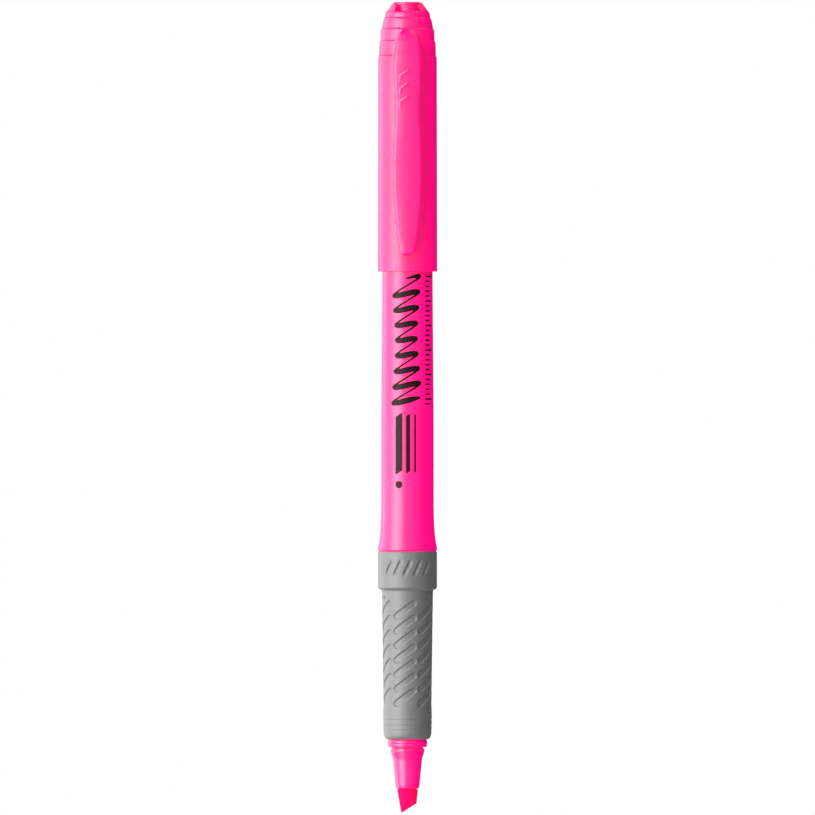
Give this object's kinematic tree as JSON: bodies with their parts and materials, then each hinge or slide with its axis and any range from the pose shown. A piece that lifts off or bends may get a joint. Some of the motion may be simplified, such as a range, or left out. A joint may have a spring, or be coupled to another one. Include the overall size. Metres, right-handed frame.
{
  "type": "capped grip highlighter",
  "caption": "Chisel-tip highlighter with a recessed-pattern rubber grip and its vented clip cap posted on the rear of the barrel.",
  "frame": {"origin": "centre of the grip's collar, on the pen's axis", "axes": "+Z along the pen towards its rear end and the posted cap's crown, -Z towards the nib, -Y the side the pocket clip is on"},
  "size_m": [0.0118, 0.0145, 0.1622],
  "materials": {
    "barrel_plastic": "satin moulded polypropylene, fluorescent pink",
    "holder_plastic": "polished moulded polypropylene, fluorescent pink",
    "cap_plastic": "satin moulded polypropylene, fluorescent pink",
    "inner_cap_plastic": "soft polyethylene, pink",
    "grip_rubber": "matt soft-touch elastomer, mid grey",
    "nib_felt": "ink-soaked bonded polyester fibre",
    "reservoir_fibre": "ink-soaked fibre bundle",
    "reservoir_film": "clear plastic film"
  },
  "bodies": {
    "barrel": {"barrel": "barrel_plastic", "nib_holder": "holder_plastic", "nib": "nib_felt", "reservoir_core": "reservoir_fibre", "reservoir_film": "reservoir_film", "end_plug": "barrel_plastic", "grip_sleeve": "grip_rubber"},
    "inner_cap": {"inner_cap": "inner_cap_plastic"},
    "cap": {"cap_shell": "cap_plastic"},
    "clip": {"clip": "cap_plastic"}
  },
  "joints": [
    {"name": "cap_slide", "type": "slide", "parent": "barrel", "child": "inner_cap", "axis": [0, 0, 1], "range_m": [0, 0.03]},
    {"name": "cap_turn", "type": "hinge", "parent": "inner_cap", "child": "cap", "pos_m": [0, 0, 0.0798], "axis": [0, 0, 1], "continuous": true},
    {"name": "clip_flex", "type": "hinge", "parent": "cap", "child": "clip", "pos_m": [0, -0.0076, 0.1009], "axis": [-1, 0, 0], "range_deg": [0, 4], "stiffness_Nm_per_rad": 1.6}
  ]
}
